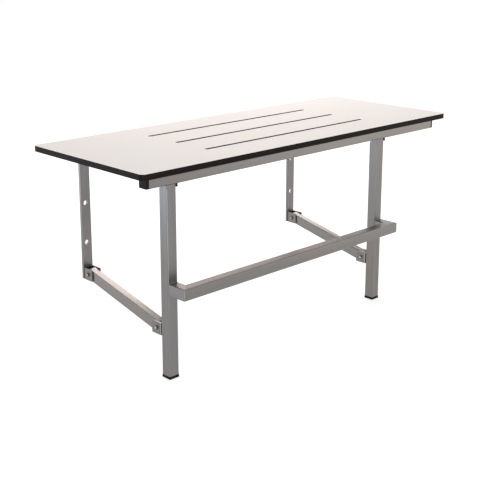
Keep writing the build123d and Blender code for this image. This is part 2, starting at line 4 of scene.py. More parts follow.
import bmesh
import bpy
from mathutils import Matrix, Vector


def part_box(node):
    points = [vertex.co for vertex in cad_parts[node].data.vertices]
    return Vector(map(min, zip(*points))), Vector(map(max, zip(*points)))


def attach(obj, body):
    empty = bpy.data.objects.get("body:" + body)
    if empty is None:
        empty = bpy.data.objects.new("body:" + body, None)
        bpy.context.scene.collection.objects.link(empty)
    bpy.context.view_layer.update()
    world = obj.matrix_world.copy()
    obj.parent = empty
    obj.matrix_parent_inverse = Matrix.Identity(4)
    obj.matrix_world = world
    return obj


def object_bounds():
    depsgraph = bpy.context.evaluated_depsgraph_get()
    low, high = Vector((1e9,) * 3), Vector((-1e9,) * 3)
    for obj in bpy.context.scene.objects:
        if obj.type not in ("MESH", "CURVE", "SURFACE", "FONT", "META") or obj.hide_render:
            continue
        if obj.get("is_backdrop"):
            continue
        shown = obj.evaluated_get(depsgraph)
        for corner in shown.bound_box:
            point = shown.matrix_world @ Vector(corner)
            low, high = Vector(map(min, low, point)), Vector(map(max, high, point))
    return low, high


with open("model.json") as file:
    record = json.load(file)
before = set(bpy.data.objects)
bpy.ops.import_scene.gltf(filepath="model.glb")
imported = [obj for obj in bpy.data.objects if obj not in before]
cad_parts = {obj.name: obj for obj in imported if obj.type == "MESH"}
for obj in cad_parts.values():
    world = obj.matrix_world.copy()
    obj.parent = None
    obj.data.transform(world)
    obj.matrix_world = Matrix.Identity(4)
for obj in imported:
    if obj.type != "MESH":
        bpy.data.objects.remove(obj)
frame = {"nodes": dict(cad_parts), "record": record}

bl_info = {
    "name": "Fold-up work bench finishes",
    "version": (1, 0, 0),
    "blender": (4, 5, 0),
    "location": "View3D > Sidebar > Bench",
    "description": "Dresses the folding work bench: laminate, satin steel, welds and studio",
    "category": "Object",
}

MM = 0.001

SIDES = ("left", "right")
STRUT_DEPTH = 40 * MM  # of the struts' tube, across its length
SLOT_MARGIN = 50 * MM  # rim points of the slots lie at least this far inside the board's edges
SLOT_REACH = 20 * MM  # and no further than this from a slot's middle

LEAN_AT_EDGE = 0.86  # cosine between the true normal and the rounded one, at a sharp edge
LEAN_ON_FACE = 0.995  # and on an open face

THREAD_STEPS = 24  # points in one turn of a thread
THREAD_SIDES = 5
THREAD_END = 1 * MM  # bare length at a bolt's end

BEAD_STEPS = 4  # rings to one ripple of a weld bead
BEAD_SIDES = 8
BEAD_START = 0.35  # thickness of a bead at its very ends
BEAD_TAPER = 2.0  # and how many of its radii it takes to swell to full thickness
RIPPLE = 0.1  # depth of the ripples, as a share of the bead's radius
CORNER_INSET = 4 * MM  # how far beads stop short of a tube's rounded corners
EAR_INSET = 3 * MM  # and of the ends of a leg's ears
EAR_SETBACK = 6 * MM  # how far back the right ear of each pair starts
BRACKET_SEAT = 0.6 * MM  # how deep beads sit in the joint behind a bracket's web
BARREL_SEAT = 1.5 * MM  # and behind a hinge barrel

CAMERA_SENSOR = 36.0  # millimetres
CAMERA_REACH = 500.0
FLOOR_GAP = 0.5 * MM
FLOOR_GREY = 0.50
FLOOR_GLOW = 0.66  # what a ray that sees the floor adds, so that lamps and glow make white


# ------------------------------------------------------------------ settings
class BENCH_PG_finishes(bpy.types.PropertyGroup):
    """Colours and surface sizes of the bench's finishes"""

    laminate: bpy.props.FloatVectorProperty(
        name="Laminate", description="Colour of the worktop's decor skins",
        default=(0.836, 0.801, 0.776), subtype="COLOR", size=3, min=0.0, max=1.0)
    core: bpy.props.FloatVectorProperty(
        name="Core", description="Colour of the board's phenolic core where it shows at the edges",
        default=(0.0070, 0.0056, 0.0049), subtype="COLOR", size=3, min=0.0, max=1.0)
    steel: bpy.props.FloatVectorProperty(
        name="Steel", description="Colour of the satin stainless tube, bar and sheet",
        default=(0.201, 0.194, 0.190), subtype="COLOR", size=3, min=0.0, max=1.0)
    fastener: bpy.props.FloatVectorProperty(
        name="Fastener", description="Colour of the bright bolts, nuts and pins",
        default=(0.56, 0.55, 0.54), subtype="COLOR", size=3, min=0.0, max=1.0)
    # inside this radius a bolt's end keeps its bright colour as a painted highlight, with painted
    # shade rings beyond it
    painted_highlight_radius: bpy.props.FloatProperty(
        name="Dish radius", description="Radius of the bright dish in the end of a bolt",
        default=0.0030, min=0.0005, max=0.01, precision=4, unit="LENGTH")
    plastic: bpy.props.FloatVectorProperty(
        name="Plastic", description="Colour of the moulded caps, feet and spacers",
        default=(0.0085, 0.0078, 0.0073), subtype="COLOR", size=3, min=0.0, max=1.0)
    grain_width: bpy.props.FloatProperty(
        name="Grain width", description="Width of one brushed line in the steel",
        default=0.0007, min=0.0002, max=0.003, precision=4, unit="LENGTH")
    streak_width: bpy.props.FloatProperty(
        name="Streak width", description="Width of the broad tone bands left by belt grinding",
        default=0.011, min=0.002, max=0.05, precision=3, unit="LENGTH")
    # the edge mask lightens the colour as a painted highlight; on steel and plastic it also lowers
    # the roughness as real polish
    edge_width: bpy.props.FloatProperty(
        name="Edge width", description="Reach of the polish that handling gives the edges",
        default=0.0012, min=0.0002, max=0.005, precision=4, unit="LENGTH")
    arris_width: bpy.props.FloatProperty(
        name="Arris width", description="Width of the dark core line at the skins' cut arris",
        default=0.0016, min=0.0002, max=0.005, precision=4, unit="LENGTH")
    chamfer_width: bpy.props.FloatProperty(
        name="Chamfer width", description="Width of the dark core line at the slots' chamfers",
        default=0.0020, min=0.0, max=0.004, precision=4, unit="LENGTH")
    ply_height: bpy.props.FloatProperty(
        name="Ply height", description="Height of one paper ply in the core's sawn edge",
        default=0.0011, min=0.0003, max=0.003, precision=4, unit="LENGTH")


class BENCH_PG_fabrication(bpy.types.PropertyGroup):
    """Sizes of the welds and threads"""

    bead_radius: bpy.props.FloatProperty(
        name="Bead radius", description="Radius of the frame's weld beads",
        default=0.0017, min=0.0005, max=0.004, precision=4, unit="LENGTH")
    bead_pitch: bpy.props.FloatProperty(
        name="Bead pitch", description="Distance between two ripples of a weld bead",
        default=0.0026, min=0.001, max=0.008, precision=4, unit="LENGTH")
    thread_pitch: bpy.props.FloatProperty(
        name="Thread pitch", description="Pitch of the thread on the pivot bolts' tails",
        default=0.00125, min=0.0005, max=0.003, precision=5, unit="LENGTH")
    thread_seat: bpy.props.FloatProperty(
        name="Thread seat", description="Radius of the spiral that a thread's crest follows",
        default=0.0039, min=0.001, max=0.01, precision=4, unit="LENGTH")
    thread_crest: bpy.props.FloatProperty(
        name="Thread crest", description="Half the width of a thread's rounded crest",
        default=0.00032, min=0.0001, max=0.001, precision=5, unit="LENGTH")
    bend_inset: bpy.props.FloatProperty(
        name="Bend inset", description="How far a bracket's weld beads stop short of its bends",
        default=0.008, min=0.0, max=0.02, precision=3, unit="LENGTH")


class BENCH_PG_stage(bpy.types.PropertyGroup):
    """Camera, lamps and floor"""

    heading: bpy.props.FloatProperty(
        name="Heading", description="Heading of the camera, turned right from the wall's direction",
        default=math.radians(43.69), subtype="ANGLE", unit="ROTATION")
    dip: bpy.props.FloatProperty(
        name="Dip", description="How far the camera looks down below the horizon",
        default=math.radians(13.45), subtype="ANGLE", unit="ROTATION")
    place: bpy.props.FloatVectorProperty(
        name="Place", description="Where the camera stands",
        default=(-2.5329, -2.5336, 1.4128), subtype="TRANSLATION", size=3, unit="LENGTH")
    lens: bpy.props.FloatProperty(
        name="Lens", description="Focal length of the camera, in millimetres",
        default=71.4, min=20.0, max=200.0)
    rise: bpy.props.FloatProperty(
        name="Rise", description="Vertical shift of the lens, as a share of the frame",
        default=-0.14, min=-0.5, max=0.5)
    ambient: bpy.props.FloatProperty(
        name="Ambient", description="Strength of the even light from all round",
        default=0.72, min=0.0, max=2.0)
    overhead: bpy.props.FloatProperty(
        name="Overhead", description="Power of the large softbox above the bench, in watts",
        default=46.0, min=0.0, max=1000.0)
    back: bpy.props.FloatProperty(
        name="Back", description="Power of the low warm softbox behind the bench, in watts",
        default=6.6, min=0.0, max=500.0)
    left_fill: bpy.props.FloatProperty(
        name="Left fill", description="Power of the low cool softbox on the left, in watts",
        default=4.3, min=0.0, max=500.0)
    left_back: bpy.props.FloatProperty(
        name="Left back", description="Power of the low warm softbox behind the left end, in watts",
        default=4.0, min=0.0, max=500.0)
    front_fill: bpy.props.FloatProperty(
        name="Front fill", description="Power of the softbox in front of the right end, in watts",
        default=4.7, min=0.0, max=500.0)
    right_fill: bpy.props.FloatProperty(
        name="Right fill", description="Power of the warm softbox on the right, in watts",
        default=6.4, min=0.0, max=500.0)
    edge_light: bpy.props.FloatProperty(
        name="Edge light", description="Power of the strip that lights the rounded corners, in watts",
        default=14.0, min=0.0, max=500.0)
    floor_size: bpy.props.FloatProperty(
        name="Floor size", description="Length of the floor's sides",
        default=90.0, min=5.0, max=200.0, unit="LENGTH")


def finishes():
    return bpy.context.scene.bench_finishes


def fabrication():
    return bpy.context.scene.bench_fabrication


def stage_settings():
    return bpy.context.scene.bench_stage


# ------------------------------------------------------------------ shader helpers
class Shader:
    """A material under construction, with short ways to add and join its nodes"""

    def __init__(self, name):
        self.material = bpy.data.materials.new(name)
        self.material.use_nodes = True
        self.tree = self.material.node_tree
        self.tree.nodes.clear()
        output = self.add("ShaderNodeOutputMaterial")
        self.surface = self.add("ShaderNodeBsdfPrincipled")
        self.join(self.surface.outputs["BSDF"], output.inputs["Surface"])

    def add(self, kind, **settings):
        node = self.tree.nodes.new(kind)
        for key, value in settings.items():
            setattr(node, key, value)
        return node

    def join(self, source, target):
        self.tree.links.new(source, target)

    def set(self, **values):
        """Sets the surface's own inputs, a socket's name being written with underscores"""
        for key, value in values.items():
            self.surface.inputs[key.replace("_", " ")].default_value = value

    def place(self, scale, turn=(0.0, 0.0, 0.0), offset=(0.0, 0.0, 0.0)):
        """Coordinates in the object's metres, turned so that the grain runs along X.

        Then they are multiplied by scale, the number of a pattern's cells to the metre each way.
        """
        where = self.add("ShaderNodeTexCoord")
        turned = self.add("ShaderNodeMapping")
        turned.inputs["Rotation"].default_value = turn
        turned.inputs["Location"].default_value = offset
        sized = self.add("ShaderNodeMapping")
        sized.inputs["Scale"].default_value = scale
        self.join(where.outputs["Object"], turned.inputs["Vector"])
        self.join(turned.outputs["Vector"], sized.inputs["Vector"])
        return sized.outputs["Vector"]

    def evenly(self, per_metre, offset=(0.0, 0.0, 0.0)):
        """Coordinates for a pattern that has as many cells to the metre every way"""
        return self.place((per_metre, per_metre, per_metre), offset=offset)

    def noise(self, vector, detail=3.0, roughness=0.5):
        texture = self.add("ShaderNodeTexNoise")
        texture.inputs["Scale"].default_value = 1.0
        texture.inputs["Detail"].default_value = detail
        texture.inputs["Roughness"].default_value = roughness
        self.join(vector, texture.inputs["Vector"])
        return texture.outputs["Fac"]

    def span(self, value, low, high, start=0.0, end=1.0):
        """Maps the values from start to end onto low to high, and holds what is beyond them"""
        node = self.add("ShaderNodeMapRange")
        node.inputs["From Min"].default_value = start
        node.inputs["From Max"].default_value = end
        node.inputs["To Min"].default_value = low
        node.inputs["To Max"].default_value = high
        self.join(value, node.inputs["Value"])
        return node.outputs["Result"]

    def sums(self, operation, first, second=0.0):
        """One step of arithmetic between sockets or numbers"""
        node = self.add("ShaderNodeMath", operation=operation)
        for socket, value in zip(node.inputs, (first, second)):
            if isinstance(value, (int, float)):
                socket.default_value = value
            else:
                self.join(value, socket)
        return node.outputs["Value"]

    def blend(self, factor, first, second):
        """The first colour where factor is 0 and the second where it is 1"""
        node = self.add("ShaderNodeMix", data_type="RGBA")
        sockets = {socket.identifier: socket for socket in node.inputs}
        for key, value in (("Factor_Float", factor), ("A_Color", first), ("B_Color", second)):
            if isinstance(value, tuple):
                sockets[key].default_value = (*value, 1.0)
            else:
                self.join(value, sockets[key])
        return {socket.identifier: socket for socket in node.outputs}["Result_Color"]

    def over(self, tone, colour, pattern, amount, start, end):
        """Lays a colour over a tone, by up to amount, where a pattern rises from start to end"""
        return self.blend(self.span(pattern, 0.0, amount, start, end), tone, colour)

    def marked(self, tone, colour, mask, amount):
        """Lays a colour over a tone, by up to amount, where a mask is 1"""
        return self.blend(self.sums("MULTIPLY", mask, amount), tone, colour)

    def length(self, vector):
        """How long a vector is"""
        node = self.add("ShaderNodeVectorMath", operation="LENGTH")
        self.join(vector, node.inputs[0])
        return node.outputs["Value"]

    def parts(self, kind):
        """The X, Y and Z of one of the object's own coordinates"""
        where = self.add("ShaderNodeTexCoord")
        split = self.add("ShaderNodeSeparateXYZ")
        self.join(where.outputs[kind], split.inputs["Vector"])
        return split.outputs

    def reach(self, axis):
        """Distance in metres from a line that runs along X through the point axis"""
        where = self.add("ShaderNodeTexCoord")
        moved = self.add("ShaderNodeMapping")
        moved.inputs["Scale"].default_value = (0.0, 1.0, 1.0)
        moved.inputs["Location"].default_value = (0.0, -axis.y, -axis.z)
        self.join(where.outputs["Object"], moved.inputs["Vector"])
        return self.length(moved.outputs["Vector"])

    def beside(self, start, end):
        """Distance in metres, seen from above, from a line along X between two points"""
        here = self.parts("Object")
        middle, half = (start.x + end.x) / 2, (end.x - start.x) / 2
        from_middle = self.sums("ABSOLUTE", self.sums("SUBTRACT", here["X"], middle))
        past_end = self.sums("MAXIMUM", self.sums("SUBTRACT", from_middle, half))
        together = self.add("ShaderNodeCombineXYZ")
        self.join(past_end, together.inputs["X"])
        self.join(self.sums("SUBTRACT", here["Y"], start.y), together.inputs["Y"])
        return self.length(together.outputs["Vector"])

    def facing_along(self, axis, start=0.55, end=0.9):
        """1 on faces square to an axis of the object and 0 on faces along it"""
        facing = self.sums("ABSOLUTE", self.parts("Normal")[axis])
        return self.span(facing, 0.0, 1.0, start, end)

    def edges(self, width):
        """1 on sharp edges and 0 on open faces, from how far a rounded normal leans away"""
        rounded = self.add("ShaderNodeBevel", samples=6)
        rounded.inputs["Radius"].default_value = width
        true = self.add("ShaderNodeNewGeometry")
        lean = self.add("ShaderNodeVectorMath", operation="DOT_PRODUCT")
        self.join(rounded.outputs["Normal"], lean.inputs[0])
        self.join(true.outputs["Normal"], lean.inputs[1])
        return self.span(lean.outputs["Value"], 1.0, 0.0, LEAN_AT_EDGE, LEAN_ON_FACE)

    def bump(self, height, distance, strength, under=None):
        """A surface raised by up to distance, on top of the relief under it"""
        node = self.add("ShaderNodeBump")
        node.inputs["Strength"].default_value = strength
        node.inputs["Distance"].default_value = distance
        self.join(height, node.inputs["Height"])
        if under is not None:
            self.join(under, node.inputs["Normal"])
        return node.outputs["Normal"]

    def colour(self, socket):
        self.join(socket, self.surface.inputs["Base Color"])

    def roughness(self, socket):
        self.join(socket, self.surface.inputs["Roughness"])

    def normal(self, socket):
        self.join(socket, self.surface.inputs["Normal"])


def shade(colour, factor):
    return tuple(min(1.0, channel * factor) for channel in colour)


def tint(colour, red, green, blue):
    return (colour[0] * red, colour[1] * green, colour[2] * blue)


def dress(material, *names):
    """Gives CAD nodes a finish through their material slots"""
    for name in names:
        mesh = frame["nodes"][name].data
        if not mesh.materials:
            mesh.materials.append(material)
        for index in range(len(mesh.materials)):
            mesh.materials[index] = material


def both(name):
    return [f"{name}_{side}" for side in SIDES]


# ------------------------------------------------------------------ finishes
GRAIN_TURN = {
    "X": (0.0, 0.0, 0.0),
    "Y": (0.0, 0.0, math.radians(90)),
    "Z": (0.0, math.radians(90), 0.0),
}


def satin_steel(name, turn, around, brightness=1.0, grain=1.0, polish=0.0, folded=False):
    """Belt-ground stainless steel: fine lines and broad bands along the grain, and smoother edges
    that carry a painted highlight.

    A folded sheet also has a painted highlight on its bends' outer corners, with painted shade in the
    hollow beside them.
    """
    look = finishes()
    colour = shade(look.steel, brightness)
    shader = Shader(name)
    shader.set(Metallic=1.0, Anisotropic=0.45)
    fine = 1.0 / look.grain_width
    wide = 1.0 / look.streak_width
    lines = shader.noise(shader.place((9.0, fine, fine), turn), detail=2.0, roughness=0.6)
    bands = shader.noise(shader.place((1.6, wide, wide), turn, (0.3, 0.1, 0.2)), roughness=0.55)
    clouds = shader.noise(shader.place((2.3, 2.3, 2.3), turn, (1.7, 0.4, 2.9)), detail=2.0)
    marks = shader.noise(shader.place((38.0, 900.0, 900.0), turn, (4.0, 2.0, 7.0)), detail=0.0)
    edge = shader.edges(look.edge_width)

    # painted reflection: random warm and cool patches that stand in for the warm and cool
    # surroundings the steel reflects
    cool = tint(colour, 0.965, 0.995, 1.05)
    warm = tint(colour, 1.05, 1.0, 0.95)
    tone = shader.over(cool, warm, clouds, 1.0, 0.35, 0.65)
    tone = shader.over(tone, shade(colour, 0.80), bands, 0.42, 0.38, 0.66)
    tone = shader.over(tone, shade(colour, 1.28), lines, 0.30, 0.35, 0.70)
    tone = shader.over(tone, shade(colour, 0.62), marks, 0.35, 0.70, 0.76)
    # lighter near sharp edges: a painted highlight on the corners; the roughness below holds the real
    # polish
    tone = shader.marked(tone, shade(colour, 1.75), edge, 0.55)
    if folded:
        # painted highlight where a bend turns away from the flank, and painted shade where it turns
        # to face the leg
        corner = shader.facing_along("Y", 0.05, 0.25)
        painted_groove_shade = shader.facing_along("Y", 0.42, 0.52)
        tone = shader.marked(tone, shade(colour, 1.9), corner, 0.8)
        tone = shader.marked(tone, shade(colour, 0.16), painted_groove_shade, 0.9)
    shader.colour(tone)

    ground = shader.span(lines, 0.33 - polish, 0.44 - polish)
    rough = shader.sums("ADD", ground, shader.span(bands, -0.03, 0.04))
    shader.roughness(shader.sums("SUBTRACT", rough, shader.sums("MULTIPLY", edge, 0.10)))
    relief = shader.bump(lines, 0.04 * MM * grain, 0.55)
    shader.normal(shader.bump(marks, 0.06 * MM, 0.25, under=relief))
    way = shader.add("ShaderNodeTangent", direction_type="RADIAL", axis=around)
    shader.join(way.outputs["Tangent"], shader.surface.inputs["Tangent"])
    return shader.material


def slot_rims():
    """The two ends of each slot's centre line and its end radius, from its rim in the face"""
    low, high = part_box("worktop_face")
    inner = []
    for corner in frame["nodes"]["worktop_face"].data.vertices:
        x, y, _ = corner.co
        if min(x - low.x, high.x - x, y - low.y, high.y - y) > SLOT_MARGIN:
            inner.append(corner.co)
    rims = []
    for opening in frame["record"]["physics"]["openings"]:
        near, far = (Vector(corner) for corner in opening["box_m"])
        rim = [point for point in inner if abs(point.y - (near.y + far.y) / 2) < SLOT_REACH]
        left, right = min(point.x for point in rim), max(point.x for point in rim)
        front, back = min(point.y for point in rim), max(point.y for point in rim)
        radius, y = (back - front) / 2, (back + front) / 2
        start, end = Vector((left + radius, y, high.z)), Vector((right - radius, y, high.z))
        rims.append((start, end, radius))
    return rims


def laminate_face():
    """Matt decor laminate: pearl texture, faint wiping marks and dark core lines at its edges"""
    look = finishes()
    bare = shade(look.core, 1.3)
    shader = Shader("pearl laminate")
    shader.set(Metallic=0.0, Specular_IOR_Level=0.16, IOR=1.5)
    pearl = shader.noise(shader.evenly(520.0), detail=2.0, roughness=0.6)
    drift = shader.noise(shader.place((1.3, 2.1, 1.0), offset=(0.6, 0.2, 0.0)), detail=2.0)
    askew = (0.0, 0.0, 0.42)
    wipes = shader.noise(shader.place((3.0, 34.0, 1.0), askew), detail=4.0, roughness=0.65)
    specks = shader.noise(shader.evenly(210.0, (3.0, 1.0, 0.0)), detail=0.0)
    edge = shader.edges(look.arris_width)

    cool = tint(look.laminate, 0.985, 0.99, 0.995)
    warm = tint(look.laminate, 1.012, 1.008, 1.004)
    tone = shader.over(cool, warm, drift, 1.0, 0.3, 0.7)
    tone = shader.over(tone, shade(look.laminate, 0.955), pearl, 0.35, 0.35, 0.65)
    tone = shader.over(tone, shade(look.laminate, 0.80), specks, 0.25, 0.74, 0.82)
    tone = shader.marked(tone, shade(look.core, 1.6), edge, 0.9)
    for start, end, radius in slot_rims():
        rim = radius + look.chamfer_width
        beside = shader.beside(start, end)
        chamfer = shader.span(beside, 1.0, 0.0, rim - 0.1 * MM, rim + 0.2 * MM)
        tone = shader.blend(chamfer, tone, bare)
    shader.colour(shader.blend(shader.facing_along("Z", 0.74, 0.92), bare, tone))

    wiped = shader.span(wipes, 0.60, 0.74)
    shader.roughness(shader.sums("ADD", wiped, shader.span(pearl, -0.02, 0.03)))
    shader.normal(shader.bump(pearl, 0.05 * MM, 0.35))
    return shader.material


def core_edge():
    """Black phenolic core with faint paper plies, saw lines and corners slightly greyed by a painted
    highlight
    """
    look = finishes()
    shader = Shader("black phenolic core")
    shader.set(Metallic=0.0, Specular_IOR_Level=0.05, IOR=1.5)
    per_ply = 1.0 / look.ply_height
    plies = shader.noise(shader.place((1.2, 1.2, per_ply)), detail=2.0, roughness=0.7)
    saw = shader.noise(shader.place((420.0, 420.0, 14.0), offset=(0.5, 0.9, 0.0)), detail=2.0)
    smears = shader.noise(shader.place((5.0, 5.0, 40.0), offset=(2.0, 0.0, 1.0)))
    edge = shader.edges(look.edge_width)

    tone = shader.over(tuple(look.core), shade(look.core, 1.9), plies, 0.8, 0.35, 0.65)
    tone = shader.over(tone, shade(look.core, 2.6), smears, 0.35, 0.45, 0.70)
    # lighter at the corners: a painted highlight
    shader.colour(shader.marked(tone, shade(look.core, 5.5), edge, 0.5))

    sawn = shader.span(saw, 0.34, 0.50)
    shader.roughness(shader.sums("ADD", sawn, shader.span(smears, -0.04, 0.05)))
    relief = shader.bump(plies, 0.04 * MM, 0.3)
    shader.normal(shader.bump(saw, 0.05 * MM, 0.4, under=relief))
    return shader.material


def moulded_plastic():
    """Black polyamide with a spark-eroded texture, rubbed smoother at its edges, where a painted
    highlight lightens it
    """
    look = finishes()
    shader = Shader("moulded black plastic")
    shader.set(Metallic=0.0, Specular_IOR_Level=0.08, IOR=1.5)
    spark = shader.noise(shader.evenly(1600.0), roughness=0.6)
    dust = shader.noise(shader.evenly(55.0, (1.0, 3.0, 2.0)))
    edge = shader.edges(look.edge_width)

    tone = shader.over(tuple(look.plastic), shade(look.plastic, 1.8), spark, 0.6, 0.35, 0.70)
    tone = shader.over(tone, shade(look.plastic, 3.2), dust, 0.4, 0.50, 0.75)
    # lighter at the edges: a painted highlight; the lower roughness there is the real rubbing
    shader.colour(shader.marked(tone, shade(look.plastic, 4.5), edge, 0.45))

    eroded = shader.span(spark, 0.46, 0.62)
    shader.roughness(shader.sums("SUBTRACT", eroded, shader.sums("MULTIPLY", edge, 0.16)))
    shader.normal(shader.bump(spark, 0.06 * MM, 0.5))
    return shader.material


def bright_fastener(name, axis=None):
    """Cold-headed stainless steel: turned lines, stains, painted shade on the flanks, and painted
    shade rings round an axis that leave a bright centre.
    """
    look = finishes()
    shader = Shader(name)
    shader.set(Metallic=1.0)
    turned = shader.noise(shader.place((2600.0, 260.0, 260.0)), detail=2.0)
    stains = shader.noise(shader.evenly(160.0, (0.0, 5.0, 0.0)))
    edge = shader.edges(look.edge_width * 0.5)

    tone = shader.over(tuple(look.fastener), shade(look.fastener, 0.62), stains, 0.6, 0.42, 0.70)
    if axis is not None:
        # painted shade: a dark ring just outside the bright centre and a duller band further out, so
        # that the centre reads as a highlight
        reach, highlight = shader.reach(axis), look.painted_highlight_radius
        tone = shader.over(tone, shade(look.fastener, 0.16), reach, 0.85, highlight, highlight * 1.25)
        tone = shader.over(tone, shade(look.fastener, 0.42), reach, 0.8, highlight * 1.75, highlight * 2.0)
    # lighter along sharp edges: a painted highlight
    tone = shader.marked(tone, shade(look.fastener, 1.6), edge, 0.6)
    # faces that are not square to X, such as the flanks, get painted shade
    shader.colour(shader.blend(shader.facing_along("X"), shade(look.fastener, 0.30), tone))

    smooth = shader.span(turned, 0.18, 0.28)
    shader.roughness(shader.sums("ADD", smooth, shader.span(stains, -0.03, 0.08)))
    shader.normal(shader.bump(turned, 0.03 * MM, 0.4))
    return shader.material


def weld_metal():
    """Weld beads, brushed after welding, with straw and blue left in the ripples"""
    look = finishes()
    shader = Shader("brushed weld bead")
    shader.set(Metallic=1.0)
    grit = shader.noise(shader.evenly(900.0))
    heat = shader.noise(shader.evenly(70.0, (2.0, 2.0, 2.0)), detail=2.0)
    edge = shader.edges(look.edge_width * 0.5)

    straw = tint(look.steel, 1.12, 0.93, 0.72)
    blue = tint(look.steel, 0.62, 0.66, 0.76)
    tone = shader.over(shade(look.steel, 1.05), straw, heat, 0.7, 0.40, 0.62)
    tone = shader.over(tone, blue, grit, 0.5, 0.40, 0.70)
    # lighter along sharp edges: a painted highlight
    shader.colour(shader.marked(tone, shade(look.steel, 1.5), edge, 0.3))
    shader.roughness(shader.span(grit, 0.32, 0.52))
    shader.normal(shader.bump(grit, 0.12 * MM, 0.5))
    return shader.material


# ------------------------------------------------------------------ mesh helpers
def piece(name, vertices, faces, material, body):
    """A smooth mesh object that rides on a body and takes the finish it is given"""
    mesh = bpy.data.meshes.new(name)
    mesh.from_pydata(vertices, [], faces)
    mesh.update()
    made = bmesh.new()
    made.from_mesh(mesh)
    bmesh.ops.recalc_face_normals(made, faces=made.faces)
    made.to_mesh(mesh)
    made.free()
    for polygon in mesh.polygons:
        polygon.use_smooth = True
    mesh.materials.append(material)
    thing = bpy.data.objects.new(name, mesh)
    bpy.context.scene.collection.objects.link(thing)
    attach(thing, body)


def rope_of_rings(path, radii, sides, vertices, faces):
    """Adds a capped tube that follows path, with one ring of vertices to each point"""
    base = len(vertices)
    count = len(path)
    for index, (centre, radius) in enumerate(zip(path, radii)):
        ahead = path[min(index + 1, count - 1)] - path[max(index - 1, 0)]
        ahead.normalize()
        first = ahead.orthogonal().normalized()
        if abs(ahead.x) > 0.9:  # a run along X, whose rings all start from the same side
            first = Vector((0.0, 0.0, 1.0)).cross(ahead).normalized()
        second = ahead.cross(first)
        for step in range(sides):
            angle = 2 * math.pi * step / sides
            vertices.append(centre + (first * math.cos(angle) + second * math.sin(angle)) * radius)
    for ring in range(count - 1):
        for step in range(sides):
            here = base + ring * sides + step
            beside = base + ring * sides + (step + 1) % sides
            faces.append((here, beside, beside + sides, here + sides))
    faces.append(tuple(base + step for step in reversed(range(sides))))
    faces.append(tuple(base + (count - 1) * sides + step for step in range(sides)))


def weld_beads(name, runs, material, body):
    """One object with a rippled bead along each run, which is its two ends and a thickness"""
    sizes = fabrication()
    vertices, faces = [], []
    for start, end, thickness in runs:
        start, end = Vector(start), Vector(end)
        length = (end - start).length
        radius = sizes.bead_radius * thickness
        steps = max(6, int(round(length / sizes.bead_pitch)) * BEAD_STEPS)
        path, radii = [], []
        for index in range(steps + 1):
            along = index / steps
            from_end = min(along, 1.0 - along) * length
            swell = min(1.0, BEAD_START + from_end / (BEAD_TAPER * radius))
            wave = math.cos(2 * math.pi * along * length / sizes.bead_pitch)
            path.append(start.lerp(end, along))
            radii.append(radius * swell * (1.0 - RIPPLE + RIPPLE * wave))
        rope_of_rings(path, radii, BEAD_SIDES, vertices, faces)
    piece(name, vertices, faces, material, body)


def tube_runs(low, high, y, inset, thickness, edges="top bottom left right"):
    """Beads along the named edges of a tube's end, where it meets a flat face at depth y"""
    ends = {
        "top": ((low.x + inset, y, high.z), (high.x - inset, y, high.z)),
        "bottom": ((low.x + inset, y, low.z), (high.x - inset, y, low.z)),
        "left": ((low.x, y, low.z + inset), (low.x, y, high.z - inset)),
        "right": ((high.x, y, low.z + inset), (high.x, y, high.z - inset)),
    }
    return [(*ends[edge], thickness) for edge in edges.split()]


def barrel_runs(side):
    """Beads in front of and behind a hinge barrel, where it lies on its upright's top"""
    barrel_low, barrel_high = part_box(f"hinge_barrel_{side}")
    low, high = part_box(f"upright_{side}")
    middle = (barrel_low + barrel_high) / 2
    radius = (barrel_high.z - barrel_low.z) / 2
    drop = math.sqrt(radius ** 2 - (middle.y - low.y) ** 2)
    return [((barrel_low.x + MM, y, z), (barrel_high.x - MM, y, z), 0.9)
            for y, z in ((low.y, middle.z - drop), (high.y - BARREL_SEAT, high.z))]


def ear_runs(side):
    """Beads along the top edges of a leg's ears, under the front rail"""
    low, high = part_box(f"leg_ears_{side}")
    return [((x, low.y + setback + EAR_INSET, high.z), (x, high.y - EAR_INSET, high.z), 0.7)
            for x, setback in ((low.x, 0.0), (high.x, EAR_SETBACK))]


def cross_tube_runs():
    """Beads under, in front of and behind both ends of the rear cross tube"""
    low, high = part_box("rear_cross_tube")
    runs = []
    for x in (low.x, high.x):
        runs.append(((x, low.y + CORNER_INSET, low.z), (x, high.y - CORNER_INSET, low.z), 1.0))
        for y in (low.y, high.y):
            runs.append(((x, y, low.z + CORNER_INSET), (x, y, high.z - CORNER_INSET), 1.0))
    return runs


def thread_spiral(start, end, centre):
    """Points along a thread's crest, wound round the X line through centre"""
    sizes = fabrication()
    steps = int((end - start) / sizes.thread_pitch * THREAD_STEPS)
    path = []
    for index in range(steps + 1):
        angle = 2 * math.pi * index / THREAD_STEPS
        path.append(Vector((start + sizes.thread_pitch * index / THREAD_STEPS,
                            centre.y + sizes.thread_seat * math.cos(angle),
                            centre.z + sizes.thread_seat * math.sin(angle))))
    return path


# ------------------------------------------------------------------ operators
class BENCH_OT_worktop(bpy.types.Operator):
    """Finishes the worktop: pearl laminate on both faces of the black core"""

    bl_idname = "bench.worktop"
    bl_label = "Finish the worktop"

    def execute(self, context):
        dress(laminate_face(), "worktop_face", "worktop_backer")
        dress(core_edge(), "worktop_core")
        return {"FINISHED"}


